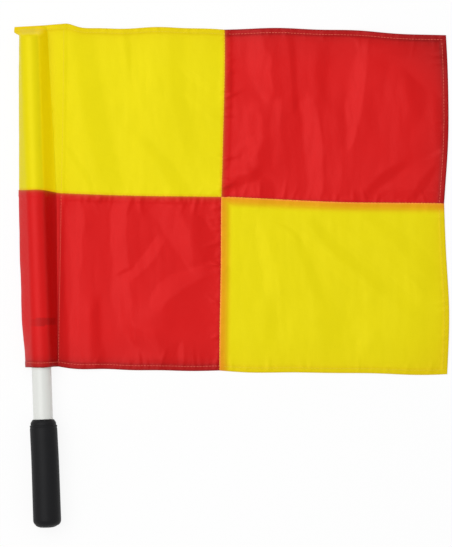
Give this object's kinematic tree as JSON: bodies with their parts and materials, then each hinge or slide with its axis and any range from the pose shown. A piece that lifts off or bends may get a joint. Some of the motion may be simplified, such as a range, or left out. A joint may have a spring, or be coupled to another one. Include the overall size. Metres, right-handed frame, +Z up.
{
  "type": "linesman flag",
  "caption": "Hand flag with a quartered red and yellow cloth, sewn into a sleeve that turns loosely on a white plastic staff with a black rubber grip.",
  "frame": {"origin": "middle of the grip's flat end, on the axis of the staff", "axes": "+Y up the staff from the grip to the tip, +X to the fly edge of the cloth, +Z up from the table that the flag lies on"},
  "size_m": [0.4412, 0.5128, 0.0283],
  "materials": {
    "white_tube": "smooth extruded plastic",
    "white_plug": "moulded plastic",
    "black_tape": "satin tape",
    "black_rubber": "matte rubber",
    "yellow_cloth": "plain woven polyester with a soft sheen",
    "red_cloth": "plain woven polyester with a soft sheen",
    "yellow_thread": "polyester sewing thread"
  },
  "bodies": {
    "staff": {"pole_tube": "white_tube", "tip_plug": "white_plug", "retaining_band": "black_tape", "grip": "black_rubber"},
    "flag": {"upper_hoist_quarter": "yellow_cloth", "upper_fly_quarter": "red_cloth", "lower_hoist_quarter": "red_cloth", "lower_fly_quarter": "yellow_cloth", "top_hem_thread": "yellow_thread", "bottom_hem_thread": "yellow_thread", "fly_hem_thread": "yellow_thread", "sleeve_thread": "yellow_thread", "hoist_cross_seam_thread": "yellow_thread", "fly_cross_seam_thread": "yellow_thread", "upper_seam_thread": "yellow_thread", "lower_seam_thread": "yellow_thread"}
  },
  "joints": [
    {"name": "sleeve_turn", "type": "hinge", "parent": "staff", "child": "flag", "pos_m": [0, 0.34, 0], "axis": [0, -1, 0], "continuous": true}
  ]
}
